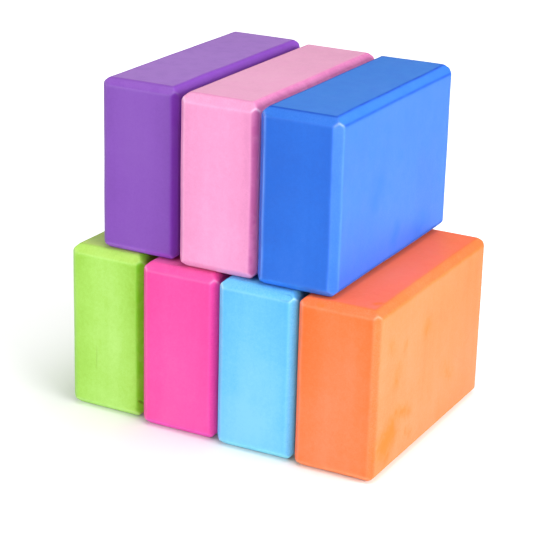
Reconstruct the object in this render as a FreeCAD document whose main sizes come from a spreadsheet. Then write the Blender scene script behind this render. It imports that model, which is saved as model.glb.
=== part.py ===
import FreeCAD, Part
import os
import Sketcher

# A loose stack of foam yoga blocks: a lower row standing side by side on the floor,
# and an upper row laid over its joints. Each block is one piece of foam, standing on
# a long narrow side, with every edge bevelled and the bevels' own edges softened.
# +X runs along the rows to the right, -Y is the front, +Z is up, in millimetres.
# The origin is at floor level, in the middle of the stack.

# Driving dimensions: alias, value, what it measures
SIZES = [
    ("block_width", 75, "narrow side, left to right"),
    ("block_length", 228, "long side, front to back"),
    ("block_height", 152, "middle side, upright"),
    ("level_bevel", 7, "leg of the 45 degree bevel on the level edges"),
    ("upright_bevel", 6, "leg of the 45 degree bevel on the upright edges"),
    ("edge_softening", 2, "radius on the edges of the bevels"),
    ("lime_magenta_gap", 2.4, "space between neighbours of the lower row"),
    ("magenta_sky_gap", 1.5, "space between neighbours of the lower row"),
    ("sky_orange_gap", 1.5, "space between neighbours of the lower row"),
    ("purple_pink_gap", 6, "space between neighbours of the upper row"),
    ("pink_royal_gap", 1.6, "space between neighbours of the upper row"),
    ("upper_row_inset", 30, "left end of the lower row to left end of the upper row"),
    ("lime_setback", 12, "front of the orange block to front of this one"),
    ("magenta_setback", 5, "front of the orange block to front of this one"),
    ("sky_setback", 2, "front of the orange block to front of this one"),
    ("purple_setback", 17, "front of the orange block to front of this one"),
    ("pink_setback", 8.5, "front of the orange block to front of this one"),
    ("royal_setback", 5, "front of the orange block to front of this one"),
]

# Blocks of each row from left to right, with the setback of each.
# The orange block stands foremost, so it has none.
LOWER_ROW = [
    ("lime_green_block", "lime_setback"),
    ("magenta_block", "magenta_setback"),
    ("sky_blue_block", "sky_setback"),
    ("orange_block", None),
]
LOWER_GAPS = ["lime_magenta_gap", "magenta_sky_gap", "sky_orange_gap"]
UPPER_ROW = [
    ("purple_block", "purple_setback"),
    ("pink_block", "pink_setback"),
    ("royal_blue_block", "royal_setback"),
]
UPPER_GAPS = ["purple_pink_gap", "pink_royal_gap"]

# An edge is upright when at least this share of its direction is along Z
UPRIGHT_SHARE = 0.99


def cell(alias):
    """Name of a size as an expression sees it."""
    return f"Sizes.{alias}"


def total(terms):
    """Expression for the sum of a list of terms."""
    return " + ".join(terms) if terms else "0"


def make_sheet(doc):
    """Puts the driving dimensions into a spreadsheet, one row each, and returns it."""
    sheet = doc.addObject("Spreadsheet::Sheet", "Sizes")
    for row, (alias, value, meaning) in enumerate(SIZES, start=1):
        sheet.set(f"A{row}", meaning)
        sheet.set(f"B{row}", str(value))
        sheet.setAlias(f"B{row}", alias)
    doc.recompute()
    return sheet


def origin_plane(body, role):
    """Returns the plane of a body's own origin that has the given role."""
    return next(plane for plane in body.Origin.OriginFeatures if plane.Role == role)


def draw_footprint(body, sheet, name):
    """Draws the block's footprint, a rectangle centred on the body's origin."""
    sketch = body.newObject("Sketcher::SketchObject", f"{name}_footprint")
    sketch.AttachmentSupport = [(origin_plane(body, "XY_Plane"), "")]
    sketch.MapMode = "FlatFace"
    half_x = sheet.block_width / 2
    half_y = sheet.block_length / 2
    corners = [
        FreeCAD.Vector(-half_x, -half_y, 0),
        FreeCAD.Vector(half_x, -half_y, 0),
        FreeCAD.Vector(half_x, half_y, 0),
        FreeCAD.Vector(-half_x, half_y, 0),
    ]
    count = len(corners)
    for index in range(count):
        sketch.addGeometry(Part.LineSegment(corners[index], corners[(index + 1) % count]), False)
    start, end, origin = 1, 2, -1
    for index in range(count):
        sketch.addConstraint(Sketcher.Constraint("Coincident", index, end, (index + 1) % count, start))
        direction = "Vertical" if index % 2 else "Horizontal"
        sketch.addConstraint(Sketcher.Constraint(direction, index))
    # Opposite corners lie either side of the origin point
    sketch.addConstraint(Sketcher.Constraint("Symmetric", 0, start, 1, end, origin, start))
    for label, kind, line, alias in (
        ("width", "DistanceX", 0, "block_width"),
        ("length", "DistanceY", 1, "block_length"),
    ):
        number = sketch.addConstraint(
            Sketcher.Constraint(kind, line, start, line, end, sheet.get(alias))
        )
        sketch.renameConstraint(number, label)
        sketch.setExpression(f"Constraints.{label}", cell(alias))
    return sketch


def edge_names(shape, upright):
    """Names of a shape's upright edges, or of all its other edges."""
    names = []
    for number, edge in enumerate(shape.Edges, start=1):
        direction = edge.tangentAt(edge.FirstParameter)
        if (abs(direction.z) > UPRIGHT_SHARE) == upright:
            names.append(f"Edge{number}")
    return names


def add_bevel(doc, body, base, upright, alias):
    """Bevels the upright edges of a feature, or all its other edges, and returns the new feature."""
    bevel = body.newObject("PartDesign::Chamfer", f"{body.Label}_{alias}")
    bevel.Base = (base, edge_names(base.Shape, upright))
    bevel.setExpression("Size", cell(alias))
    doc.recompute()
    return bevel


def make_block(doc, sheet, name, place):
    """Builds one block: footprint, upright pad, level bevels, upright bevels, then softened bevels."""
    body = doc.addObject("PartDesign::Body", name)
    body.Label = name
    sketch = draw_footprint(body, sheet, name)

    pad = body.newObject("PartDesign::Pad", f"{name}_foam")
    pad.Profile = sketch
    pad.setExpression("Length", cell("block_height"))
    doc.recompute()

    level = add_bevel(doc, body, pad, False, "level_bevel")
    bevelled = add_bevel(doc, body, level, True, "upright_bevel")

    softening = body.newObject("PartDesign::Fillet", f"{name}_softening")
    softening.Base = (bevelled, [])
    softening.UseAllEdges = True
    softening.setExpression("Radius", cell("edge_softening"))
    body.Tip = softening

    for axis, expression in zip("xyz", place):
        body.setExpression(f"Placement.Base.{axis}", expression)
    return body


def row_places(row, gaps, start, level):
    """Expressions for the places of a row's blocks, from its left end, its setbacks and its level."""
    deepest = "max(" + "; ".join(cell(alias) for _, alias in LOWER_ROW + UPPER_ROW if alias) + ")"
    places = {}
    for index, (name, setback) in enumerate(row):
        along = [start, f"({index} + 1 / 2) * {cell('block_width')}"]
        along += [cell(gap) for gap in gaps[:index]]
        depth = cell(setback) if setback else "0"
        places[name] = (total(along), f"{depth} - {deepest} / 2", level)
    return places


def check(doc, blocks):
    """Stops if any object of the document failed or any block is not one valid solid."""
    for item in doc.Objects:
        if any(state in ("Invalid", "Error") for state in item.State):
            raise RuntimeError(f"{item.Name} failed: {item.State}")
    for body in blocks:
        shape = body.Shape
        if shape.isNull() or not shape.isValid() or len(shape.Solids) != 1:
            raise RuntimeError(f"{body.Label} is not one valid solid")


def main():
    """Builds the stack and writes one file per block."""
    doc = FreeCAD.newDocument("YogaBlockStack")
    sheet = make_sheet(doc)
    lower_span = total([f"{len(LOWER_ROW)} * {cell('block_width')}"] + [cell(gap) for gap in LOWER_GAPS])
    lower_start = f"-({lower_span}) / 2"
    upper_start = f"{lower_start} + {cell('upper_row_inset')}"
    places = row_places(LOWER_ROW, LOWER_GAPS, lower_start, "0")
    places.update(row_places(UPPER_ROW, UPPER_GAPS, upper_start, cell("block_height")))
    blocks = [make_block(doc, sheet, name, place) for name, place in places.items()]
    doc.recompute()
    check(doc, blocks)
    os.makedirs("parts", exist_ok=True)
    for body in blocks:
        body.Shape.exportStep(f"parts/{body.Label}.step")
        box = body.Shape.BoundBox
        print(body.Label, "volume", round(body.Shape.Volume), "centre", box.Center, "faces", len(body.Shape.Faces))


main()
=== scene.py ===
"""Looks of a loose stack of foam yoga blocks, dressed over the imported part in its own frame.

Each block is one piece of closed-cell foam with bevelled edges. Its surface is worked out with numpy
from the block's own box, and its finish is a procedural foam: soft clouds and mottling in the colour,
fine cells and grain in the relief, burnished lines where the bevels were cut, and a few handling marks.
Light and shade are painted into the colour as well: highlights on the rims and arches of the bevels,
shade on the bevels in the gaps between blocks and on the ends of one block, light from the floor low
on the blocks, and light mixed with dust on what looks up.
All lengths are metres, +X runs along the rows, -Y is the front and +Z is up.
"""

from __future__ import annotations

import itertools
import logging
import math
from dataclasses import dataclass, field
from enum import Enum

import bpy
import numpy as np
from mathutils import Matrix, Vector
from numpy.typing import NDArray

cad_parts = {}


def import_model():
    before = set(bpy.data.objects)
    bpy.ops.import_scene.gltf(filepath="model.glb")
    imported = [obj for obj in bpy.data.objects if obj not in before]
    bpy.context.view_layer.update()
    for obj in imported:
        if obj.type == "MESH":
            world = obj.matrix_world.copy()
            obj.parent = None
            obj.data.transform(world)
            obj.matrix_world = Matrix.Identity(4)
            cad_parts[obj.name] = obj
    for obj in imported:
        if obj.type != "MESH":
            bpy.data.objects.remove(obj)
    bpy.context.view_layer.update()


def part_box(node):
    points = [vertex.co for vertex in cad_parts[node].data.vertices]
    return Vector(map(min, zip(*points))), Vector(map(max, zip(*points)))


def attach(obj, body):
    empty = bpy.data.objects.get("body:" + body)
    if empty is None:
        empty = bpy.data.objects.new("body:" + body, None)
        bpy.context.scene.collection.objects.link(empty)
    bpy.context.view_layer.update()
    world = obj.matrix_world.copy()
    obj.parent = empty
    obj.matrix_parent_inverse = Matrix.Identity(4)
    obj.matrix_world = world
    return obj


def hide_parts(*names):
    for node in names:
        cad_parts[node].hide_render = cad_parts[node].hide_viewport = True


log = logging.getLogger("yoga_blocks")

Array = NDArray[np.float64]
Pair = tuple[float, float]
Triple = tuple[float, float, float]
Linear = tuple[float, float, float, float]
Band = tuple[float, float, float, float]
Socket = bpy.types.NodeSocket

PHOTO_WIDTH_PX = 539
SENSOR_WIDTH_MM = 36.0
LUMINANCE = np.array([0.2126, 0.7152, 0.0722])
WHITE = (1.0, 1.0, 1.0, 1.0)
# Middle of a noise's range and of a run of colours
MIDDLE = 0.5
# Least share that anything is divided by
TINY = 1e-9


class SkinField(Enum):
    """Numbers that a block's mesh holds at each vertex, for its foam to use."""

    # Painted highlights on the upright rims, on the rims above the ends and on the arches
    RIM = "upright_rim"
    BROW = "brow_rim"
    ARCH = "upright_arch"
    CAP_LINE = "cap_line"
    RAIL_LINE = "rail_line"
    # Dust, with painted light, on what looks up
    CROWN = "crown_tint"
    # Bare bevels, with painted shade of the gaps
    BARE = "bare_bevel"
    # Painted floor light on the bevels at the bottom
    FOOT = "foot_bevel"
    END = "end_face"
    MARGIN = "end_margin"
    # Painted floor light on the lower parts of the ends
    LOW = "end_low"
    CUT = "bevel_cut"
    RUN = "bevel_run"
    GROOVE = "groove"
    SMUDGE = "smudge"


class MarkKind(Enum):
    """What handling left: a groove pressed into the foam, or a smudge on its skin."""

    GROOVE = "groove"
    SMUDGE = "smudge"


def linear(colour: Triple) -> Linear:
    """Turns a display colour into the linear colour that shaders take.

    The standard curve of a screen is a straight line near black and a power above it.

    Args:
        colour: Red, green and blue from 0 to 255, as a screen shows them.

    Returns:
        Linear red, green, blue and an alpha of one.
    """
    share = np.asarray(colour, float) / 255.0
    low = share / 12.92
    high = ((share + 0.055) / 1.055) ** 2.4
    red, green, blue = np.where(share <= 0.04045, low, high)
    return float(red), float(green), float(blue), 1.0


def kin(colour: Triple, shade: Pair) -> Linear:
    """Makes a lighter or darker, duller or richer kin of a colour.

    Args:
        colour: The colour, as a screen shows it.
        shade: How much brighter the kin is, and how far it stands from grey, where 1 leaves it as it is.

    Returns:
        The kin, in linear colour.
    """
    gain, richness = shade
    base = np.array(linear(colour)[:3])
    grey = base @ LUMINANCE
    red, green, blue = np.clip(gain * (grey + richness * (base - grey)), 0.0, 1.0)
    return float(red), float(green), float(blue), 1.0


def seam(first: Array, second: Array) -> Array:
    """Returns four times the product of two shares, which is 1 where each is a half."""
    return 4.0 * first * second


@dataclass(frozen=True)
class Pattern:
    """A layer of noise: features per metre, finer layers, their strength, and how far it is pulled about."""

    scale: float
    detail: float
    roughness: float = 0.5
    warp: float = 0.0


class NodeGraph:
    """A node tree, with one short method for each kind of node that the finishes use."""

    def __init__(self, owner: bpy.types.Material | bpy.types.World) -> None:
        """Clears a node tree and keeps it.

        Args:
            owner: The material or world that the tree belongs to.
        """
        owner.use_nodes = True
        self.tree = owner.node_tree
        self.tree.nodes.clear()

    def add(self, kind: str) -> bpy.types.Node:
        """Adds a node of the given type and returns it."""
        return self.tree.nodes.new(kind)

    def join(self, source: Socket, target: Socket) -> None:
        """Links an output socket to an input socket."""
        self.tree.links.new(source, target)

    def feed(self, target: Socket, value: Socket | float) -> None:
        """Links a socket to an input, or sets the input to a plain number.

        Args:
            target: The input socket.
            value: An output socket, or a number.
        """
        if isinstance(value, bpy.types.NodeSocket):
            self.join(value, target)
        else:
            target.default_value = value

    def place(self) -> Socket:
        """Returns the piece's own coordinates, in metres."""
        return self.add("ShaderNodeTexCoord").outputs["Object"]

    def skin(self, name: SkinField) -> Socket:
        """Reads a number that the mesh holds at each vertex.

        Args:
            name: Which of the numbers.

        Returns:
            The number.
        """
        node = self.add("ShaderNodeAttribute")
        node.attribute_name = name.value
        return node.outputs["Fac"]

    def stretched(self, place: Socket, scale: Triple, turn: Triple) -> Socket:
        """Scales coordinates by a different amount along each axis, after a turn.

        Args:
            place: Coordinates to stretch.
            scale: Repeats per metre along each axis.
            turn: Rotation about each axis, in radians.

        Returns:
            The stretched coordinates.
        """
        node = self.add("ShaderNodeMapping")
        node.inputs["Rotation"].default_value = turn
        node.inputs["Scale"].default_value = scale
        self.join(place, node.inputs["Vector"])
        return node.outputs["Vector"]

    def noise_node(self, pattern: Pattern) -> bpy.types.Node:
        """Adds a layer of noise and returns its node.

        Args:
            pattern: The noise's size and character.

        Returns:
            The node, with nothing joined to it yet.
        """
        node = self.add("ShaderNodeTexNoise")
        node.inputs["Scale"].default_value = pattern.scale
        node.inputs["Detail"].default_value = pattern.detail
        node.inputs["Roughness"].default_value = pattern.roughness
        node.inputs["Distortion"].default_value = pattern.warp
        return node

    def noise(self, place: Socket, pattern: Pattern) -> Socket:
        """Adds soft noise.

        Args:
            place: Coordinates that the noise follows.
            pattern: The noise's size and character.

        Returns:
            A number from 0 to 1, mostly near a half.
        """
        node = self.noise_node(pattern)
        self.join(place, node.inputs["Vector"])
        return node.outputs["Fac"]

    def line_noise(self, run: Socket, pattern: Pattern) -> Socket:
        """Adds noise that changes along one length only.

        Args:
            run: The length, in metres.
            pattern: The noise's size and character.

        Returns:
            A number from 0 to 1, mostly near a half.
        """
        node = self.noise_node(pattern)
        node.noise_dimensions = "1D"
        self.join(run, node.inputs["W"])
        return node.outputs["Fac"]

    def cells(self, place: Socket, scale: float) -> bpy.types.Node:
        """Adds a pattern of round cells.

        Args:
            place: Coordinates that the cells follow.
            scale: Cells per metre.

        Returns:
            The node, for the distance to a cell's middle and the cell's own colour.
        """
        node = self.add("ShaderNodeTexVoronoi")
        self.join(place, node.inputs["Vector"])
        node.inputs["Scale"].default_value = scale
        return node

    def math(
        self, operation: str, first: Socket | float, second: Socket | float, clamp: bool = False
    ) -> Socket:
        """Does one sum on two numbers.

        Args:
            operation: The sum, such as ADD or MULTIPLY.
            first: A socket or a number.
            second: A socket or a number.
            clamp: Whether the answer is kept from 0 to 1.

        Returns:
            The answer.
        """
        node = self.add("ShaderNodeMath")
        node.operation = operation
        node.use_clamp = clamp
        self.feed(node.inputs[0], first)
        self.feed(node.inputs[1], second)
        return node.outputs[0]

    def times(self, first: Socket, second: Socket | float) -> Socket:
        """Multiplies two numbers."""
        return self.math("MULTIPLY", first, second)

    def clamped(self, value: Socket) -> Socket:
        """Keeps a number from 0 to 1."""
        return self.math("ADD", value, 0.0, clamp=True)

    def swing(self, value: Socket, strength: Socket | float) -> Socket:
        """Centres a noise on nothing and scales its swing."""
        return self.times(self.math("SUBTRACT", value, MIDDLE), strength)

    def total(self, start: float, parts: tuple[Socket, ...]) -> Socket:
        """Adds numbers to a starting number.

        Args:
            start: The starting number.
            parts: Numbers to add.

        Returns:
            The sum.
        """
        answer: Socket | float = start
        for part in parts:
            answer = self.math("ADD", part, answer)
        return answer

    def band(
        self, value: Socket, low: float, high: float, to_low: float = 0.0, to_high: float = 1.0
    ) -> Socket:
        """Carries a range of a number smoothly onto another range.

        Args:
            value: The number.
            low: Value that becomes to_low.
            high: Value that becomes to_high.
            to_low: Answer at low and below.
            to_high: Answer at high and above.

        Returns:
            The answer, eased at both ends.
        """
        node = self.add("ShaderNodeMapRange")
        node.interpolation_type = "SMOOTHSTEP"
        self.join(value, node.inputs["Value"])
        node.inputs["From Min"].default_value = low
        node.inputs["From Max"].default_value = high
        node.inputs["To Min"].default_value = to_low
        node.inputs["To Max"].default_value = to_high
        return node.outputs["Result"]

    def blend(self, share: Socket, base: Socket, other: Linear) -> Socket:
        """Mixes a plain colour into a colour by a share that changes over the surface.

        Args:
            share: How much of the plain colour shows, from 0 to 1.
            base: Colour that it is mixed into.
            other: The plain colour.

        Returns:
            The mixed colour.
        """
        node = self.add("ShaderNodeMix")
        node.data_type = "RGBA"
        self.join(share, node.inputs["Factor"])
        colours = [socket for socket in node.inputs if socket.type == "RGBA"]
        self.join(base, colours[0])
        colours[1].default_value = other
        return next(socket for socket in node.outputs if socket.type == "RGBA")

    def ramp(self, share: Socket, colours: tuple[Linear, Linear, Linear]) -> Socket:
        """Runs through three colours.

        Args:
            share: Place along the run, from 0 to 1.
            colours: Colours at the start, middle and end.

        Returns:
            The colour at that place.
        """
        node = self.add("ShaderNodeValToRGB")
        stops = node.color_ramp.elements
        stops.new(MIDDLE)
        for stop, colour in zip(stops, colours):
            stop.color = colour
        self.join(share, node.inputs["Fac"])
        return node.outputs["Color"]

    def relief(self, height: Socket, size: Pair, under: Socket | None = None) -> Socket:
        """Turns a height into fine relief.

        Args:
            height: Height from 0 to 1.
            size: How much of it shows, and the length that a height of 1 stands for.
            under: Relief that it is laid over.

        Returns:
            The normal.
        """
        strength, distance = size
        node = self.add("ShaderNodeBump")
        node.inputs["Strength"].default_value = strength
        node.inputs["Distance"].default_value = distance
        self.join(height, node.inputs["Height"])
        if under is not None:
            self.join(under, node.inputs["Normal"])
        return node.outputs["Normal"]

    def camera_sees(self) -> Socket:
        """Returns 1 for what the camera sees directly, and 0 for all else."""
        return self.add("ShaderNodeLightPath").outputs["Is Camera Ray"]

    def mirror_sees(self) -> Socket:
        """Returns 1 for what is seen in a reflection or through glass, and 0 for all else."""
        path = self.add("ShaderNodeLightPath")
        return self.math("MAXIMUM", path.outputs["Is Glossy Ray"], path.outputs["Is Transmission Ray"])


@dataclass(frozen=True)
class FoamFinish:
    """Closed-cell foam of one colour: satin skin, soft clouds, cells, cut bevels, burnished lines and
    painted light, shade and highlights.
    """

    name: str
    colour: Triple
    # How far each layer swings the colour
    sweep: float = 1.2
    cloud: float = 0.6
    blotch: float = 0.36
    streak: float = 0.42
    mottle: float = 0.48
    grain: float = 0.8
    cut: float = 0.2
    cut_grain: float = 0.9
    # How much deeper the ends are towards their sides, how much paler painted floor light makes them towards
    # the bottom, and how much painted light sets their tone off from the other faces, where less than
    # nothing paints shade
    margin: float = 0.42
    low: float = 0.15
    end_painted_light: float = 0.0
    # How much shows of the dust and painted light on what looks up, of the bare bevels with their painted
    # shade, and of the painted floor light on the bevels at the bottom
    dust_and_light_share: float = 0.04
    bare_and_shade_share: float = 0.35
    foot_light_share: float = 0.6
    # How much shows of the painted highlights on the rims of the upright bevels and above the ends and on
    # the arches between them, and of the dark lines round the upper and lower faces and beside the long
    # bevels
    rim_highlight_share: float = 0.5
    brow_highlight_share: float = 0.5
    arch_highlight_share: float = 0.5
    cap_share: float = 0.2
    rail_share: float = 0.0
    # How much shows of the marks of handling and of pale specks
    smudge_share: float = 0.7
    groove_share: float = 0.6
    speck_share: float = 0.3
    # The tint of dust and painted light, then the gain and richness of the foam's deepest and palest tones
    # and
    # of all else: bare bevels with painted shade, painted floor light, painted highlights, lines and marks
    crown: Triple = (240, 240, 235)
    deepest: Pair = (0.84, 1.10)
    palest: Pair = (1.14, 0.88)
    bare: Pair = (0.65, 1.65)
    foot: Pair = (2.1, 0.85)
    rim: Pair = (1.35, 0.75)
    arch: Pair = (2.0, 0.40)
    line: Pair = (0.45, 1.80)
    smudge: Pair = (0.97, 1.14)
    groove: Pair = (0.45, 1.1)
    speck: Pair = (1.3, 0.7)
    # Shine of the plain foam, and how much rougher each kind of wear and each swing of a pattern makes it
    specular: float = 0.5
    roughness: float = 0.5
    end_roughness: float = 0.0
    dust_and_light_roughness: float = 0.0
    bare_and_shade_roughness: float = 0.3
    rim_roughness: float = -0.15
    line_roughness: float = 0.45
    smudge_roughness: float = 0.3
    blotch_roughness: float = 0.18
    grain_roughness: float = 0.12
    # Layers of the pattern. The streaks have features per metre along each axis, and a slight turn
    sweep_pattern: Pattern = Pattern(7.0, 1.0)
    cloud_pattern: Pattern = Pattern(22.0, 4.0, warp=0.6)
    blotch_pattern: Pattern = Pattern(75.0, 5.0, 0.6, 0.3)
    ragged_pattern: Pattern = Pattern(160.0, 4.0, 0.6, 0.5)
    mottle_pattern: Pattern = Pattern(330.0, 3.0, 0.6)
    cut_pattern: Pattern = Pattern(650.0, 3.0)
    grain_pattern: Pattern = Pattern(900.0, 3.0, 0.7)
    streak_pattern: Pattern = Pattern(1.0, 3.0, 0.55)
    streak_scale: Triple = (95.0, 95.0, 6.0)
    streak_turn: Triple = (0.04, 0.06, 0.0)
    # Cells per metre
    cell_scale: float = 1900.0
    speck_scale: float = 140.0
    # How much shows of each relief, and the length that its full height stands for
    cell_relief: Pair = (0.30, 0.00010)
    grain_relief: Pair = (0.40, 0.00030)
    cut_relief: Pair = (0.20, 0.00020)
    # Two levels of the soft patches, and how much of the wear and of a smudge shows at each
    wear_patches: Band = (0.35, 0.60, 0.7, 1.0)
    smear_patches: Band = (0.30, 0.65, 0.6, 1.2)
    # How far noise pulls about the edge of a smudge, and the levels between which the smudge comes in
    smudge_raggedness: float = 1.1
    smudge_edge: Pair = (0.12, 0.75)
    # Distances, in cells, between which a speck fades, and the levels past which a cell gets one
    speck_edge: Pair = (0.03, 0.07)
    speck_choice: Pair = (0.66, 0.74)

    def material(self) -> bpy.types.Material:
        """Builds the foam's material: its tones, wear and painted light and shade, its roughness, and the
        relief of cells and cuts.

        Returns:
            The node material.
        """
        material = bpy.data.materials.new(self.name)
        graph = NodeGraph(material)
        place = graph.place()
        blotch = graph.noise(place, self.blotch_pattern)
        mottle = graph.noise(place, self.mottle_pattern)
        grain = graph.noise(place, self.grain_pattern)
        cut = graph.skin(SkinField.CUT)
        scored = graph.swing(graph.line_noise(graph.skin(SkinField.RUN), self.cut_pattern), cut)

        shader = graph.add("ShaderNodeBsdfPrincipled")
        shader.inputs["Specular IOR Level"].default_value = self.specular
        tone = self.tone(graph, place, blotch, mottle, grain, cut, scored)
        tones = (kin(self.colour, self.deepest), linear(self.colour), kin(self.colour, self.palest))
        colour = self.worn(graph, place, graph.ramp(tone, tones), blotch)
        graph.join(colour, shader.inputs["Base Color"])
        graph.join(self.gloss(graph, blotch, grain), shader.inputs["Roughness"])
        cells = graph.cells(place, self.cell_scale)
        fine = graph.relief(cells.outputs["Distance"], self.cell_relief)
        coarse = graph.relief(grain, self.grain_relief, fine)
        graph.join(graph.relief(scored, self.cut_relief, coarse), shader.inputs["Normal"])
        output = graph.add("ShaderNodeOutputMaterial")
        graph.join(shader.outputs["BSDF"], output.inputs["Surface"])
        return material

    def tone(
        self,
        graph: NodeGraph,
        place: Socket,
        blotch: Socket,
        mottle: Socket,
        grain: Socket,
        cut: Socket,
        scored: Socket,
    ) -> Socket:
        """Adds up the layers of the colour pattern, painted floor light and painted tone of the ends among
        them.

        Each layer swings about nothing, so the sum is a half plus each layer's swing times its strength.

        Args:
            graph: The material's nodes.
            place: The piece's coordinates.
            blotch: Noise of soft patches.
            mottle: Noise of fine patches.
            grain: Noise of grain.
            cut: How much of a bevel each place is.
            scored: Lines that the cutter left across the bevels.

        Returns:
            A number from 0, deepest, to 1, palest.
        """
        sweep = graph.noise(place, self.sweep_pattern)
        cloud = graph.noise(place, self.cloud_pattern)
        drawn_out = graph.stretched(place, self.streak_scale, self.streak_turn)
        streak = graph.noise(drawn_out, self.streak_pattern)
        layers = (
            graph.swing(sweep, self.sweep),
            graph.swing(cloud, self.cloud),
            graph.swing(blotch, self.blotch),
            graph.swing(streak, self.streak),
            graph.swing(mottle, self.mottle),
            graph.swing(grain, self.grain),
            graph.swing(grain, graph.times(cut, self.cut_grain)),
            graph.times(scored, self.cut),
            graph.times(graph.skin(SkinField.MARGIN), -self.margin),
            # Painted floor light, paler towards the bottom of the ends
            graph.times(graph.skin(SkinField.LOW), self.low),
            # Painted light that sets the ends' tone off, painting shade where it is less than nothing
            graph.times(graph.skin(SkinField.END), self.end_painted_light),
        )
        return graph.clamped(graph.total(MIDDLE, layers))

    def worn(self, graph: NodeGraph, place: Socket, colour: Socket, blotch: Socket) -> Socket:
        """Lays painted light, shade and highlights, dust, bare bevels, dark lines, specks, smudges and
        grooves.

        Args:
            graph: The material's nodes.
            place: The piece's coordinates.
            colour: The foam's colour.
            blotch: Noise of soft patches.

        Returns:
            The worn colour.
        """
        broken = graph.band(blotch, *self.wear_patches)
        # Painted light, shade and highlights are laid here too: dust with painted light on what looks up,
        # bare bevels with painted shade, painted floor light on the bevels at the bottom, and painted
        # highlights on the rims and arches
        layers = (
            (SkinField.CROWN, self.dust_and_light_share, linear(self.crown)),
            (SkinField.BARE, self.bare_and_shade_share, kin(self.colour, self.bare)),
            (SkinField.FOOT, self.foot_light_share, kin(self.colour, self.foot)),
            (SkinField.RIM, self.rim_highlight_share, kin(self.colour, self.rim)),
            (SkinField.BROW, self.brow_highlight_share, kin(self.colour, self.rim)),
            (SkinField.CAP_LINE, self.cap_share, kin(self.colour, self.line)),
            (SkinField.RAIL_LINE, self.rail_share, kin(self.colour, self.line)),
            (SkinField.ARCH, self.arch_highlight_share, kin(self.colour, self.arch)),
        )
        for layer, share, shade in layers:
            amount = graph.times(graph.times(graph.skin(layer), broken), share)
            colour = graph.blend(amount, colour, shade)
        colour = graph.blend(self.specks(graph, place), colour, kin(self.colour, self.speck))
        smeared = graph.times(graph.skin(SkinField.SMUDGE), graph.band(blotch, *self.smear_patches))
        ragged = graph.swing(graph.noise(place, self.ragged_pattern), self.smudge_raggedness)
        spread = graph.band(graph.math("ADD", smeared, ragged), *self.smudge_edge)
        smudge = graph.times(spread, self.smudge_share)
        colour = graph.blend(smudge, colour, kin(self.colour, self.smudge))
        groove = graph.times(graph.skin(SkinField.GROOVE), self.groove_share)
        return graph.blend(groove, colour, kin(self.colour, self.groove))

    def specks(self, graph: NodeGraph, place: Socket) -> Socket:
        """Puts a small pale speck at the middle of one in a few of a set of wide cells.

        Args:
            graph: The material's nodes.
            place: The piece's coordinates.

        Returns:
            How much of a speck shows.
        """
        cells = graph.cells(place, self.speck_scale)
        near = graph.band(cells.outputs["Distance"], *self.speck_edge, 1.0, 0.0)
        chosen = graph.band(cells.outputs["Color"], *self.speck_choice)
        return graph.times(graph.times(near, chosen), self.speck_share)

    def gloss(self, graph: NodeGraph, blotch: Socket, grain: Socket) -> Socket:
        """Works out the roughness: blotchy, smooth on rims and arches, dull on bevels, lines and smudges.

        Args:
            graph: The material's nodes.
            blotch: Noise of soft patches.
            grain: Noise of grain.

        Returns:
            The roughness.
        """
        changes = (
            (SkinField.RIM, self.rim_roughness),
            (SkinField.BROW, self.rim_roughness),
            (SkinField.ARCH, self.rim_roughness),
            (SkinField.CAP_LINE, self.line_roughness),
            (SkinField.RAIL_LINE, self.line_roughness),
            (SkinField.SMUDGE, self.smudge_roughness),
            (SkinField.END, self.end_roughness),
            (SkinField.BARE, self.bare_and_shade_roughness),
            (SkinField.CROWN, self.dust_and_light_roughness),
        )
        parts = [graph.times(graph.skin(layer), change) for layer, change in changes]
        parts += [graph.swing(blotch, self.blotch_roughness), graph.swing(grain, self.grain_roughness)]
        return graph.clamped(graph.total(self.roughness, tuple(parts)))


@dataclass(frozen=True)
class Mark:
    """A trace of handling along a line between two points, which are measured from the block's middle."""

    kind: MarkKind
    start: Triple
    end: Triple
    width: float
    depth: float = 0.0
    # How much of the mark shows, and the distance at which it runs round its line
    share: float = 1.0
    radius: float = 0.0
    # How deep a groove's ends are, as a share of its middle
    end_share: float = 0.35
    # Step between grid lines as a share of the width, and the least sine that it is divided by
    step_share: float = 0.6
    least_sine: float = 0.15

    def step(self, axis: int) -> float:
        """Works out the step between grid lines that shows the mark.

        The step across the mark is a share of its width, and it grows as one over the sine of the angle
        between the mark and the axis, up to a limit.

        Args:
            axis: Axis that the grid lines are spaced along.

        Returns:
            The step.
        """
        run = np.subtract(self.end, self.start)
        along = 0.0 if self.radius else abs(run[axis]) / np.linalg.norm(run)
        return self.step_share * self.width / max(math.sqrt(1.0 - along**2), self.least_sine)

    def reach(self, points: Array) -> Array:
        """Works out how strongly each point lies in the mark.

        A groove falls off as a bell curve of the distance to its line, and tapers at both ends. With a
        radius it runs round the line at that distance, and fades towards the start. A smudge falls off
        evenly to nothing at its width.

        Args:
            points: Points measured from the middle of the block.

        Returns:
            A share from 0, outside, to the mark's own share, on its line.
        """
        start = np.array(self.start)
        run = np.array(self.end) - start
        along = np.clip((points - start) @ run / (run @ run), 0.0, 1.0)
        distance = np.linalg.norm(points - start - along[:, None] * run, axis=1)
        away = np.abs(distance - self.radius) / self.width
        if self.kind is MarkKind.SMUDGE:
            return self.share * np.clip(1.0 - away, 0.0, 1.0)
        taper = along if self.radius else self.end_share + (1.0 - self.end_share) * np.sin(np.pi * along)
        return self.share * np.exp(-(away**2)) * taper


@dataclass
class Skin:
    """A block's surface: its points in the frame, and its numbers at each point."""

    points: Array
    fields: dict[SkinField, Array]


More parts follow.
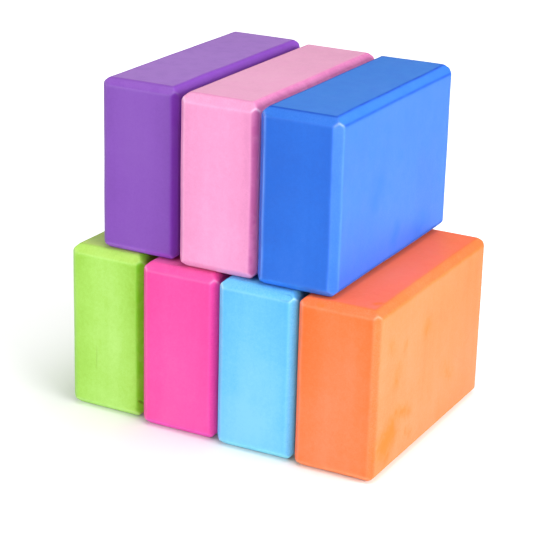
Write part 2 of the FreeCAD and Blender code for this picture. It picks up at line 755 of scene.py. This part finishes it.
@dataclass
class FoamBlock:
    """One foam block: a bevelled, softened box with slightly uneven faces and edges."""

    node: str
    body: str
    slot: str
    finish: FoamFinish
    seed: int
    marks: tuple[Mark, ...]
    # Legs of the bevels, how softly they turn into the faces, and how softly the colour changes there
    upright_bevel: float = 0.0060
    level_bevel: float = 0.0070
    softness: float = 0.0005
    line_softness: float = 0.00042
    # How far faces and bevels are let in at most, and the waves that let them in
    face_sag: float = 0.00035
    bevel_wander: float = 0.0004
    waves: int = 3
    wave_lengths: Pair = (0.045, 0.15)
    # Steps between grid lines, the band along the edges that has the fine one, and the growth beyond it.
    # A groove keeps its own step for some of its widths to either side
    fine_step: float = 0.0005
    coarse_step: float = 0.0022
    dense_band: float = 0.0095
    step_growth: float = 0.16
    groove_reach: float = 3.0
    step_samples: int = 4001
    # The inner box lies this many level bevels inside the sharp one
    core_depth: float = 2.0
    newton_steps: int = 12
    # How much dust and painted light a bevel that looks up has, as a share of the top
    bevel_dust_and_light: float = 0.35
    # How bare the right side's upright and level bevels are, with painted shade of the gaps, and the left
    # side's
    bare_and_shade_upright: float = 1.0
    bare_and_shade_level: float = 0.75
    bare_and_shade_left: float = 0.1
    # Strength of the painted highlights on the right rims and on those above the ends against the left ones,
    # and on the left arches against the right ones
    right_rim: float = 0.3
    brow_rim: float = 0.5
    left_arch_highlight: float = 1.5
    # About the mean of the square that deepens the ends, so that their tone swings about nothing
    margin_mean: float = 0.3
    # Length between the starts of the cutter's lines on one bevel and on the next
    run_spacing: float = 0.37
    fill: float = 1.0
    middle: Array = field(init=False)
    half: Array = field(init=False)

    def __post_init__(self) -> None:
        """Reads the block's place and size from the frame."""
        low, high = (np.array(corner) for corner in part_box(self.node))
        self.middle = (low + high) / 2
        self.half = (high - low) / 2

    def stations(self, axis: int) -> Array:
        """Spaces grid lines along one side of the block.

        The wanted step is fine within a band at both ends and at the grooves, and grows in proportion to
        the distance from them. The running sum of one over the step counts the lines, and the lines
        stand where that count passes equal parts of its total.

        Args:
            axis: Axis that the side runs along.

        Returns:
            Positions measured from the middle of the block.
        """
        half = self.half[axis]
        samples = np.linspace(-half, half, self.step_samples)
        inside = np.maximum(half - np.abs(samples) - self.dense_band, 0.0)
        step = self.fine_step + self.step_growth * inside
        for mark in self.marks:
            if mark.kind is MarkKind.GROOVE:
                low, high = sorted((mark.start[axis], mark.end[axis]))
                reach = self.groove_reach * mark.width + mark.radius
                beyond = np.maximum(np.maximum(low - samples, samples - high) - reach, 0.0)
                step = np.minimum(step, mark.step(axis) + self.step_growth * beyond)
        step = np.minimum(step, self.coarse_step)
        pieces = np.diff(samples) * (1.0 / step[1:] + 1.0 / step[:-1]) / 2
        count = np.concatenate([[0.0], np.cumsum(pieces)])
        return np.interp(np.linspace(0.0, count[-1], math.ceil(count[-1]) + 1), count, samples)

    def lattice(self) -> tuple[Array, NDArray[np.int64]]:
        """Lays a grid of two parameters on each of the six faces of the sharp box, sharing the seams.

        Returns:
            Points of the grids measured from the middle of the block, and the quads that join them.
        """
        lines = [self.stations(axis) for axis in range(3)]
        shape = tuple(len(line) for line in lines)
        shell = np.ones(shape, bool)
        shell[1:-1, 1:-1, 1:-1] = False
        number = np.full(shape, -1)
        number[shell] = np.arange(np.count_nonzero(shell))
        points = np.stack([line[index] for line, index in zip(lines, np.nonzero(shell))], axis=1)
        quads = []
        for axis, end in itertools.product(range(3), (0, -1)):
            grid = np.take(number, end, axis=axis)
            face = np.stack([grid[:-1, :-1], grid[1:, :-1], grid[1:, 1:], grid[:-1, 1:]], axis=-1)
            # Axes 0 and 2 leave pairs that turn outwards at the far end, and axis 1 at the near end
            outward = (end == -1) != (axis == 1)
            quads.append(face.reshape(-1, 4) if outward else face.reshape(-1, 4)[:, ::-1])
        return points, np.concatenate(quads)

    def directions(self) -> Array:
        """Lists which way the six faces and twelve bevels look.

        A face looks along one axis and a bevel along two at 45 degrees, so the directions are all the
        triples of -1, 0 and 1 with one or two that aren't 0.

        Returns:
            One triple for each plane.
        """
        signs = np.array(list(itertools.product((-1, 0, 1), repeat=3)), float)
        count = np.abs(signs).sum(axis=1)
        return signs[(count == 1) | (count == 2)]

    def unevenness(self, points: Array, normals: Array, most: Array) -> Array:
        """Lets each plane in by slow waves that run across it, so that no face or edge is dead straight.

        Each plane's waves are the mean of a few sines, along seeded directions that lie in the plane.

        Args:
            points: Points measured from the middle of the block.
            normals: Normals of the planes.
            most: How far each plane is let in at most.

        Returns:
            How far each plane is let in at each point, from nothing to the most.
        """
        random = np.random.default_rng(self.seed)
        total = np.zeros((len(points), len(normals)))
        for _ in range(self.waves):
            heading = random.normal(size=normals.shape)
            heading -= (heading * normals).sum(axis=1, keepdims=True) * normals
            heading /= np.linalg.norm(heading, axis=1, keepdims=True)
            length = random.uniform(*self.wave_lengths, len(normals))
            phase = random.uniform(0.0, 2 * np.pi, len(normals))
            total += np.sin(points @ heading.T * (2 * np.pi / length) + phase)
        return most * (1.0 - total / self.waves) / 2

    def settle(self, guide: Array, normals: Array, wall: Array) -> tuple[Array, Array]:
        """Carries the grid on the sharp box onto the bevelled and softened block.

        The block is the set of points where a smooth maximum of the distances to all its planes is zero:
        the softness times the log of the sum of exponentials of the distances over the softness. Each
        point slides along the line from a smaller inner box through its place on the sharp box, by
        Newton's steps, until it is on that surface.

        Args:
            guide: Points on the sharp box, measured from the middle of the block.
            normals: Normals of the planes.
            wall: Distance of each plane from the middle, at each point.

        Returns:
            The points on the block, and the share of each plane in each of them.
        """
        core = self.half - self.core_depth * self.level_bevel
        start = np.clip(guide, -core, core)
        heading = guide - start
        travel = np.linalg.norm(heading, axis=1)
        heading /= travel[:, None]
        for _ in range(self.newton_steps):
            excess = ((start + travel[:, None] * heading) @ normals.T - wall) / self.softness
            largest = excess.max(axis=1, keepdims=True)
            shares = np.exp(excess - largest)
            total = shares.sum(axis=1, keepdims=True)
            shares /= total
            slope = ((shares @ normals) * heading).sum(axis=1)
            travel -= self.softness * (largest + np.log(total))[:, 0] / slope
        return start + travel[:, None] * heading, shares

    def ownership(self, points: Array, normals: Array, wall: Array) -> Array:
        """Works out how much each point belongs to each plane, changing over across a line's width.

        The shares are exponentials of the distances to the planes over the lines' softness, divided by
        their sum.

        Args:
            points: Points on the block, measured from its middle.
            normals: Normals of the planes.
            wall: Distance of each plane from the middle, at each point.

        Returns:
            The share of each plane in each point.
        """
        excess = (points @ normals.T - wall) / self.line_softness
        shares = np.exp(excess - excess.max(axis=1, keepdims=True))
        return shares / shares.sum(axis=1, keepdims=True)

    def surface(self, guide: Array) -> Skin:
        """Works out the block's surface and the numbers that its foam uses.

        A line is where two groups of planes own a point equally: four times the product of their shares.
        The painted highlights on the rims are strongest at the left side, and those on the arches too. The
        ends grow deeper by the square of the distance from their middle line, and paler towards the bottom
        by painted floor light. Grooves push the points in along the normal.

        Args:
            guide: Points on the sharp box, measured from the middle of the block.

        Returns:
            The surface.
        """
        signs = self.directions()
        aside, up = signs[:, 0], signs[:, 2]
        across = aside != 0
        bevelled = np.abs(signs).sum(axis=1) == 2
        upright = bevelled & (up == 0)
        size = np.linalg.norm(signs, axis=1)
        normals = signs / size[:, None]
        leg = np.where(upright, self.upright_bevel, np.where(bevelled, self.level_bevel, 0.0))
        most = np.where(bevelled, self.bevel_wander, self.face_sag)
        wall = (np.abs(signs) @ self.half - leg) / size - self.unevenness(guide, normals, most)
        points, tilt = self.settle(guide, normals, wall)
        shares = self.ownership(points, normals, wall)
        normal = tilt @ normals
        normal /= np.linalg.norm(normal, axis=1, keepdims=True)

        # Dust with painted light on what looks up, full on the top and less on the bevels
        dust_and_light = np.where(up > 0, np.where(bevelled, self.bevel_dust_and_light, 1.0), 0.0)
        # Bare bevels with painted shade of the gaps, strongest on the right side
        bare_and_shade_right = np.where(upright, self.bare_and_shade_upright, self.bare_and_shade_level)
        bare_and_shaded = np.where(bevelled & across, np.where(aside > 0, bare_and_shade_right, self.bare_and_shade_left), 0.0)
        cut = shares[:, bevelled].sum(axis=1)
        cap = shares[:, ~bevelled & (up != 0)].sum(axis=1)
        # Painted floor light on the bevels at the bottom
        foot = shares[:, bevelled & (up < 0)].sum(axis=1)
        left = shares[:, upright & (aside < 0)].sum(axis=1)
        right = shares[:, upright & (aside > 0)].sum(axis=1)
        brow = shares[:, bevelled & (up > 0)].sum(axis=1)
        rails = shares[:, bevelled & across & (up != 0)].sum(axis=1)
        sides = shares[:, ~bevelled & across].sum(axis=1)
        end = shares[:, ~bevelled & (signs[:, 1] != 0)].sum(axis=1)
        margin = (points[:, 0] / (self.half[0] - self.upright_bevel)) ** 2 - self.margin_mean
        # Painted highlights on the rims of the upright bevels, strongest on the left
        rim_highlights = seam(left, 1.0 - left) + self.right_rim * seam(right, 1.0 - right)
        # The length along each bevel's edge is the coordinate that its direction leaves out
        start = self.run_spacing * np.arange(np.count_nonzero(bevelled))
        along = points @ (1.0 - np.abs(signs[bevelled])).T + start
        groove, smudge, pressed = self.handled(points, normal)
        fields = {
            SkinField.RIM: np.minimum(rim_highlights, 1.0),
            SkinField.BROW: self.brow_rim * seam(brow, end),
            SkinField.ARCH: np.minimum(seam(self.left_arch_highlight * left + right, brow), 1.0),
            SkinField.CAP_LINE: seam(cap, 1.0 - cap),
            SkinField.RAIL_LINE: seam(rails, sides),
            SkinField.CROWN: shares @ dust_and_light,
            SkinField.BARE: shares @ bare_and_shaded,
            SkinField.FOOT: foot,
            SkinField.END: end,
            SkinField.MARGIN: end * margin,
            # Painted floor light, stronger towards the bottom of the ends
            SkinField.LOW: -end * points[:, 2] / self.half[2],
            SkinField.CUT: cut,
            SkinField.RUN: (shares[:, bevelled] * along).sum(axis=1) / np.maximum(cut, TINY),
            SkinField.GROOVE: groove,
            SkinField.SMUDGE: smudge,
        }
        return Skin(pressed + self.middle, fields)

    def handled(self, points: Array, normal: Array) -> tuple[Array, Array, Array]:
        """Leaves the marks of handling on the block.

        Args:
            points: Points on the block, measured from its middle.
            normal: Normals at the points.

        Returns:
            How deep in a groove and how much in a smudge each point is, and the points with the grooves
            pressed in.
        """
        groove = np.zeros(len(points))
        smudge = np.zeros(len(points))
        pressed = points
        for mark in self.marks:
            share = mark.reach(points)
            if mark.kind is MarkKind.SMUDGE:
                smudge = np.maximum(smudge, share)
            else:
                groove = np.maximum(groove, share)
                pressed = pressed - (mark.depth * share)[:, None] * normal
        return groove, smudge, pressed

    def mesh(self) -> bpy.types.Mesh:
        """Builds the block's closed mesh.

        Returns:
            The mesh, with its numbers as attributes.
        """
        guide, quads = self.lattice()
        skin = self.surface(guide)
        mesh = bpy.data.meshes.new(self.node + "_foam")
        mesh.from_pydata(skin.points, [], quads)
        mesh.polygons.foreach_set("use_smooth", np.ones(len(quads), bool))
        for name, values in skin.fields.items():
            attribute = mesh.attributes.new(name.value, "FLOAT", "POINT")
            attribute.data.foreach_set("value", values.astype(np.float32))
        mesh.update()
        return mesh

    def build(self) -> bpy.types.Object:
        """Builds and dresses the block.

        Returns:
            The piece, which rides on the block's body in place of its solid.
        """
        piece = bpy.data.objects.new(self.node + "_foam", self.mesh())
        bpy.context.scene.collection.objects.link(piece)
        piece.data.materials.append(self.finish.material())
        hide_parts(self.node)
        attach(piece, self.body)
        return piece


class Foam(Enum):
    """The foam colours of the set."""

    LIME_GREEN = FoamFinish(
        name="lime_green_foam",
        colour=(168, 223, 89),
        grain=0.55,
        cut_grain=0.4,
        margin=0.34,
        bare_and_shade_share=1.0,
        bare=(0.78, 1.65),
        foot_light_share=0.9,
        foot=(1.45, 0.85),
        rim_highlight_share=0.15,
        brow_highlight_share=0.15,
        arch_highlight_share=0.08,
        # Painted light on the top, which lies in the purple block's shade, mixed with dust
        dust_and_light_share=0.55,
        crown=(235, 255, 140),
    )
    MAGENTA = FoamFinish(
        name="magenta_foam",
        colour=(245, 73, 164),
        foot_light_share=0.75,
        foot=(1.8, 1.0),
        brow_highlight_share=0.3,
        dust_and_light_share=0.11,
    )
    SKY_BLUE = FoamFinish(
        name="sky_blue_foam",
        colour=(100, 191, 246),
        bare_and_shade_share=0.0,
        bare_and_shade_roughness=0.0,
        foot_light_share=0.65,
        low=0.28,
    )
    ORANGE = FoamFinish(
        name="orange_foam",
        colour=(250, 118, 58),
        bare_and_shade_share=0.29,
        arch_highlight_share=0.25,
        cap_share=0.0,
        dust_and_light_share=0.4,
        crown=(250, 95, 68),
        low=0.25,
        specular=0.38,
    )
    PURPLE = FoamFinish(
        name="purple_foam",
        colour=(125, 64, 177),
        bare_and_shade_share=0.62,
        foot_light_share=1.0,
        rim_highlight_share=0.4,
        brow_highlight_share=0.4,
        arch_highlight_share=0.35,
        cap_share=0.35,
        rail_share=0.15,
        dust_and_light_share=0.2,
        crown=(240, 188, 255),
    )
    PINK = FoamFinish(
        name="pink_foam",
        colour=(238, 151, 199),
        bare_and_shade_share=1.0,
        bare=(0.5, 1.65),
        foot_light_share=0.2,
        cap_share=0.3,
        rim_highlight_share=0.8,
        brow_highlight_share=0.8,
        dust_and_light_share=0.12,
        crown=(225, 240, 210),
    )
    ROYAL_BLUE = FoamFinish(
        name="royal_blue_foam",
        colour=(12, 101, 211),
        bare_and_shade_share=0.0,
        bare_and_shade_roughness=0.0,
        foot_light_share=0.6,
        margin=0.3,
        # Painted shade on the ends
        end_painted_light=-0.15,
        end_roughness=0.31,
        rim_highlight_share=0.8,
        brow_highlight_share=0.1,
        rim=(2.5, 0.65),
        arch_highlight_share=0.7,
        cap_share=1.0,
        rail_share=0.85,
        dust_and_light_share=0.12,
        crown=(120, 215, 240),
        dust_and_light_roughness=0.28,
        smudge_share=0.35,
        roughness=0.42,
        specular=0.53,
    )


@dataclass
class BlockStack:
    """The stack: a lower row on the floor and an upper row laid over its joints."""

    blocks: list[FoamBlock] = field(default_factory=list)
    side: float = field(init=False)
    front: float = field(init=False)
    top: float = field(init=False)

    def __post_init__(self) -> None:
        """Reads how far a block's right, front and upper faces lie from its middle, the same for all."""
        low, high = (np.array(corner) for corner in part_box("sky_blue_block"))
        self.side, length, self.top = ((high - low) / 2).tolist()
        self.front = -length

    def lay(self) -> None:
        """Sets out every block with its foam, its handling marks and any bevels of its own."""
        rows = (
            ("lime_green", Foam.LIME_GREEN, self.lime_marks(), {}),
            ("magenta", Foam.MAGENTA, (), {}),
            ("sky_blue", Foam.SKY_BLUE, self.sky_marks(), {}),
            ("orange", Foam.ORANGE, self.orange_marks(), {"upright_bevel": 0.0051, "level_bevel": 0.0061}),
            ("purple", Foam.PURPLE, (), {"upright_bevel": 0.0053, "level_bevel": 0.0059}),
            ("pink", Foam.PINK, self.pink_marks(), {}),
            ("royal_blue", Foam.ROYAL_BLUE, self.royal_marks(), {"upright_bevel": 0.0065}),
        )
        for seed, (name, foam, marks, bevels) in enumerate(rows, start=1):
            block = FoamBlock(name + "_block", name, name + "_foam", foam.value, seed, marks, **bevels)
            self.blocks.append(block)

    def groove(self, start: Triple, end: Triple, **sizes: float) -> Mark:
        """Returns a groove of the given sizes between two points."""
        return Mark(MarkKind.GROOVE, start, end, **sizes)

    def smudge(self, start: Triple, end: Triple, **sizes: float) -> Mark:
        """Returns a smudge of the given sizes between two points."""
        return Mark(MarkKind.SMUDGE, start, end, **sizes)

    def side_smudges(self, rows: tuple[tuple[Pair, Pair, float, float], ...]) -> list[Mark]:
        """Lays smudges on a block's right face.

        Args:
            rows: Y and Z of the start and of the end, width and share of each smudge.

        Returns:
            The smudges.
        """
        return [
            self.smudge((self.side, *start), (self.side, *end), width=width, share=share)
            for start, end, width, share in rows
        ]

    def lime_marks(self) -> tuple[Mark, ...]:
        """Marks the lime green block.

        Returns:
            A tear low on the right upright bevel, and a thin scratch on the front.
        """
        side, front = self.side, self.front
        start, end = (side - 0.0040, front + 0.0020, -0.0588), (side, front + 0.0060, -0.0615)
        tear = self.groove(start, end, width=0.0009, depth=0.0016)
        start, end = (-0.0093, front, -0.0150), (-0.0096, front, -0.0375)
        scratch = self.groove(start, end, width=0.0005, depth=0.0003, share=0.5)
        return tear, scratch

    def sky_marks(self) -> tuple[Mark, ...]:
        """Marks the sky blue block.

        Returns:
            A faint long ring pressed into the upper front bevel, near its right end.
        """
        forward, height = self.front + 0.0023, self.top - 0.0047
        start, end = (0.0190, forward, height), (0.0290, forward, height)
        return (self.groove(start, end, width=0.0007, depth=0.0004, share=0.8, radius=0.0030),)

    def orange_marks(self) -> tuple[Mark, ...]:
        """Marks the orange block.

        Returns:
            Thumb smudges on the right face, the top and a bevel, and thin scratches on the right face.
        """
        side, top = self.side, self.top
        forward, height = self.front + 0.002, top - 0.004
        smudges = (
            ((-0.079, -0.040), (-0.096, -0.048), 0.021, 1.0),
            ((-0.072, -0.026), (-0.046, -0.034), 0.011, 0.6),
            ((-0.070, 0.012), (-0.074, 0.002), 0.011, 0.5),
            ((-0.011, 0.033), (-0.016, 0.028), 0.011, 0.5),
            ((-0.056, 0.032), (-0.059, 0.027), 0.009, 0.45),
            ((-0.087, 0.040), (-0.084, 0.034), 0.010, 0.45),
            ((-0.048, -0.052), (-0.042, -0.056), 0.009, 0.5),
            ((-0.090, -0.062), (-0.083, -0.058), 0.009, 0.6),
            ((0.030, -0.020), (0.042, -0.034), 0.016, 0.4),
        )
        scratches = (
            ((side, 0.042, -0.010), (side, 0.077, -0.035)),
            ((side, 0.089, -0.006), (side, 0.077, -0.014)),
        )
        return (
            *self.side_smudges(smudges),
            self.smudge((0.025, -0.095, top), (0.027, -0.092, top), width=0.0045),
            self.smudge((-0.017, forward, height), (-0.012, forward, height), width=0.005, share=0.6),
            *(self.groove(start, end, width=0.0010, depth=0.0002, share=0.25) for start, end in scratches),
        )

    def pink_marks(self) -> tuple[Mark, ...]:
        """Marks the pink block.

        Returns:
            A dent on the right upright bevel.
        """
        across, forward = self.side - 0.0052, self.front + 0.0013
        start, end = (across, forward, 0.0450), (across, forward, 0.0495)
        return (self.groove(start, end, width=0.0010, depth=0.0005, share=0.3),)

    def royal_marks(self) -> tuple[Mark, ...]:
        """Marks the royal blue block.

        Returns:
            A nick and a crease on the front bevels, and faint smudges on the right face.
        """
        front, top = self.front, self.top
        smudges = (
            ((-0.037, 0.004), (-0.044, -0.008), 0.016, 0.3),
            ((0.002, -0.048), (-0.004, -0.055), 0.012, 0.4),
            ((0.060, -0.056), (0.050, -0.062), 0.020, 0.3),
        )
        start, end = (0.0125, front + 0.0006, 0.0070 - top), (0.0150, front + 0.0015, 0.0055 - top)
        nick = self.groove(start, end, width=0.0006, depth=0.0005, share=0.3)
        start, end = (-0.0304, front + 0.0014, top - 0.0056), (-0.0240, front + 0.0004, top - 0.0066)
        crease = self.groove(start, end, width=0.0006, depth=0.0005, share=0.5)
        return (nick, crease, *self.side_smudges(smudges))

    def build(self) -> None:
        """Builds every block and reports it."""
        for block in self.blocks:
            piece = block.build()
            log.info("%s: %d faces on body %s", piece.name, len(piece.data.polygons), block.body)


@dataclass(frozen=True)
class PhotoCamera:
    """The photograph's viewpoint, aimed at a point inside the stack."""

    azimuth: float = 27.775
    elevation: float = 19.702
    roll: float = 1.50
    distance: float = 1.6089
    aim: Triple = (-0.00512, -0.01330, 0.12579)
    focal_px: float = 1814.0

    def build(self) -> bpy.types.Object:
        """Makes the scene's camera, behind its aim by the distance and turned by the three angles.

        Returns:
            The camera.
        """
        turn, rise, tilt = (math.radians(angle) for angle in (self.azimuth, self.elevation, self.roll))
        back = Vector((math.sin(turn) * math.cos(rise), -math.cos(turn) * math.cos(rise), math.sin(rise)))
        level_right = Vector((math.cos(turn), math.sin(turn), 0.0))
        level_up = back.cross(level_right)
        right = math.cos(tilt) * level_right + math.sin(tilt) * level_up
        up = math.cos(tilt) * level_up - math.sin(tilt) * level_right
        data = bpy.data.cameras.new("photo_camera")
        data.sensor_fit = "HORIZONTAL"
        data.sensor_width = SENSOR_WIDTH_MM
        data.lens = self.focal_px * SENSOR_WIDTH_MM / PHOTO_WIDTH_PX
        camera = bpy.data.objects.new("photo_camera", data)
        place = Matrix((right, up, back)).transposed().to_4x4()
        place.translation = Vector(self.aim) + self.distance * back
        camera.matrix_world = place
        bpy.context.scene.collection.objects.link(camera)
        bpy.context.scene.camera = camera
        return camera


@dataclass(frozen=True)
class Softbox:
    """A flat soft lamp that looks at the stack."""

    name: str
    towards: Triple
    distance: float
    width: float
    height: float
    level: float
    aim: Triple = (0.0, 0.0, 0.15)

    def build(self) -> bpy.types.Object:
        """Makes the lamp.

        A lamp of power P at distance d lights a facing white surface to P over pi squared d squared, so
        the power is the wanted level times pi squared d squared.

        Returns:
            The lamp.
        """
        data = bpy.data.lights.new(self.name, "AREA")
        data.shape = "RECTANGLE"
        data.size = self.width
        data.size_y = self.height
        data.energy = self.level * (math.pi * self.distance) ** 2
        lamp = bpy.data.objects.new(self.name, data)
        heading = Vector(self.towards).normalized()
        place = heading.to_track_quat("Z", "Y").to_matrix().to_4x4()
        place.translation = Vector(self.aim) + self.distance * heading
        lamp.matrix_world = place
        lamp.visible_camera = False
        bpy.context.scene.collection.objects.link(lamp)
        return lamp


@dataclass(frozen=True)
class Studio:
    """Plain white studio: a pale floor, a key from the right, soft fills and an even white room."""

    floor_half: float = 9.0
    floor_lines: int = 3
    floor_colour: Triple = (237, 237, 237)
    # The floor that is seen is lifted towards white, in steps by its distance from a place by the front.
    # Each step has the distances where it starts and ends, and its rise
    near_lift: float = 0.06
    lift_middle: Triple = (0.06, -0.09, 0.0)
    lift_steps: tuple[Triple, ...] = ((0.12, 0.36, 0.36), (0.34, 1.0, 0.48))
    # In reflections the floor behind the stack is lifted instead
    mirrored_lift: float = 0.6
    mirrored_near: float = -0.2
    mirrored_far: float = 0.3
    room_level: float = 0.22
    room_mirrored: float = 0.75
    softboxes: tuple[Softbox, ...] = (
        Softbox("key_right", (0.93, -0.235, 0.27), distance=1.2, width=1.2, height=0.45, level=1.29),
        Softbox("fill_top", (0.21, -0.15, 0.96), distance=2.0, width=1.3, height=1.3, level=0.59),
        Softbox("fill_front", (-0.55, -0.815, 0.14), distance=1.6, width=1.4, height=0.8, level=0.43),
    )

    def floor(self) -> bpy.types.Object:
        """Lays the floor, a flat grid of two parameters.

        Returns:
            The floor, which is part of the stage.
        """
        line = np.linspace(-self.floor_half, self.floor_half, self.floor_lines)
        across, along = np.meshgrid(line, line, indexing="ij")
        points = np.stack([across, along, np.zeros_like(across)], axis=-1).reshape(-1, 3)
        number = np.arange(line.size**2).reshape(line.size, line.size)
        quads = np.stack([number[:-1, :-1], number[1:, :-1], number[1:, 1:], number[:-1, 1:]], axis=-1)
        mesh = bpy.data.meshes.new("studio_floor")
        mesh.from_pydata(points, [], quads.reshape(-1, 4))
        mesh.materials.append(self.floor_material())
        floor = bpy.data.objects.new("studio_floor", mesh)
        bpy.context.scene.collection.objects.link(floor)
        return floor

    def floor_material(self) -> bpy.types.Material:
        """Makes matt white paper that is seen lifted towards white, with the shadows kept.

        Returns:
            The node material.
        """
        material = bpy.data.materials.new("studio_floor")
        graph = NodeGraph(material)
        matt = graph.add("ShaderNodeBsdfDiffuse")
        matt.inputs["Color"].default_value = linear(self.floor_colour)
        away = graph.add("ShaderNodeVectorMath")
        away.operation = "DISTANCE"
        graph.join(graph.place(), away.inputs[0])
        away.inputs[1].default_value = self.lift_middle
        distance = away.outputs["Value"]
        steps = tuple(graph.band(distance, near, far, 0.0, rise) for near, far, rise in self.lift_steps)
        direct = graph.times(graph.camera_sees(), graph.total(self.near_lift, steps))
        split = graph.add("ShaderNodeSeparateXYZ")
        graph.join(graph.place(), split.inputs["Vector"])
        depth = split.outputs["Y"]
        behind = graph.band(depth, self.mirrored_near, self.mirrored_far, 0.0, self.mirrored_lift)
        mirrored = graph.times(graph.mirror_sees(), behind)
        lift = graph.add("ShaderNodeEmission")
        graph.join(graph.math("ADD", direct, mirrored), lift.inputs["Strength"])
        both = graph.add("ShaderNodeAddShader")
        graph.join(matt.outputs["BSDF"], both.inputs[0])
        graph.join(lift.outputs["Emission"], both.inputs[1])
        output = graph.add("ShaderNodeOutputMaterial")
        graph.join(both.outputs["Shader"], output.inputs["Surface"])
        return material

    def room(self) -> None:
        """Makes the room white where it is seen, and an even soft light elsewhere."""
        world = bpy.data.worlds.new("studio_room")
        graph = NodeGraph(world)
        level = graph.total(
            self.room_level,
            (
                graph.times(graph.camera_sees(), 1.0 - self.room_level),
                graph.times(graph.mirror_sees(), self.room_mirrored - self.room_level),
            ),
        )
        background = graph.add("ShaderNodeBackground")
        background.inputs["Color"].default_value = WHITE
        graph.join(level, background.inputs["Strength"])
        output = graph.add("ShaderNodeOutputWorld")
        graph.join(background.outputs["Background"], output.inputs["Surface"])
        bpy.context.scene.world = world

    def build(self) -> None:
        """Builds the floor, the room and the lamps."""
        self.floor()
        self.room()
        for softbox in self.softboxes:
            softbox.build()
        bpy.context.scene.view_settings.view_transform = "Standard"


def main() -> None:
    """Loads the frame, dresses the stack, sets the studio and places the camera."""
    logging.basicConfig(level=logging.INFO, format="%(name)s %(message)s")
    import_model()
    stack = BlockStack()
    stack.lay()
    stack.build()
    Studio().build()
    PhotoCamera().build()


if __name__ == "__main__":
    main()
